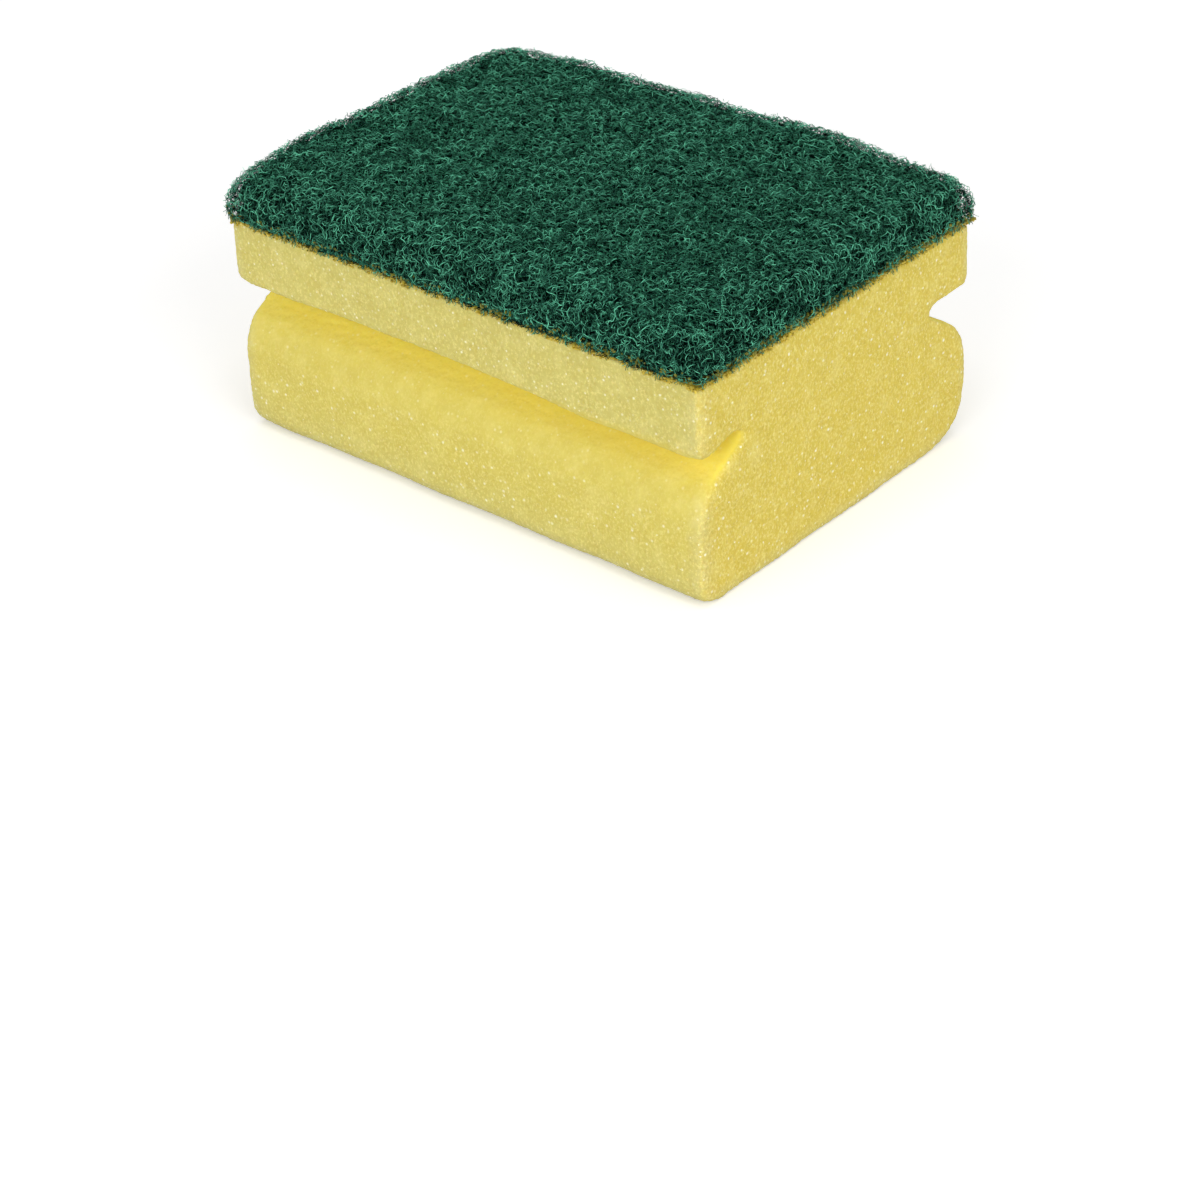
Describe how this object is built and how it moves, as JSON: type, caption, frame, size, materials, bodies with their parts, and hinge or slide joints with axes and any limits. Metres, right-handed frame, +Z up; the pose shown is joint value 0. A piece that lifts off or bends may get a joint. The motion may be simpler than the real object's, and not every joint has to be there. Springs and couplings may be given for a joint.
{
  "type": "cleaning sponge",
  "caption": "Yellow foam cleaning sponge with finger grooves along both long sides and a dark green scouring pad glued to its top.",
  "frame": {"origin": "middle of the foam block's flat underside, which is also the bottom centre of the whole sponge", "axes": "+X along the finger grooves, +Y across them towards the side with the rounder bottom edge, +Z up through the scouring pad"},
  "size_m": [0.0966, 0.0676, 0.0457],
  "materials": {
    "foam": "matt open-cell polyurethane foam",
    "glue": "set amber adhesive",
    "web": "tangled non-woven fibres, slightly shiny"
  },
  "bodies": {
    "root": {"foam_block": "foam", "glue_film": "glue", "scouring_pad": "web"}
  },
  "joints": []
}
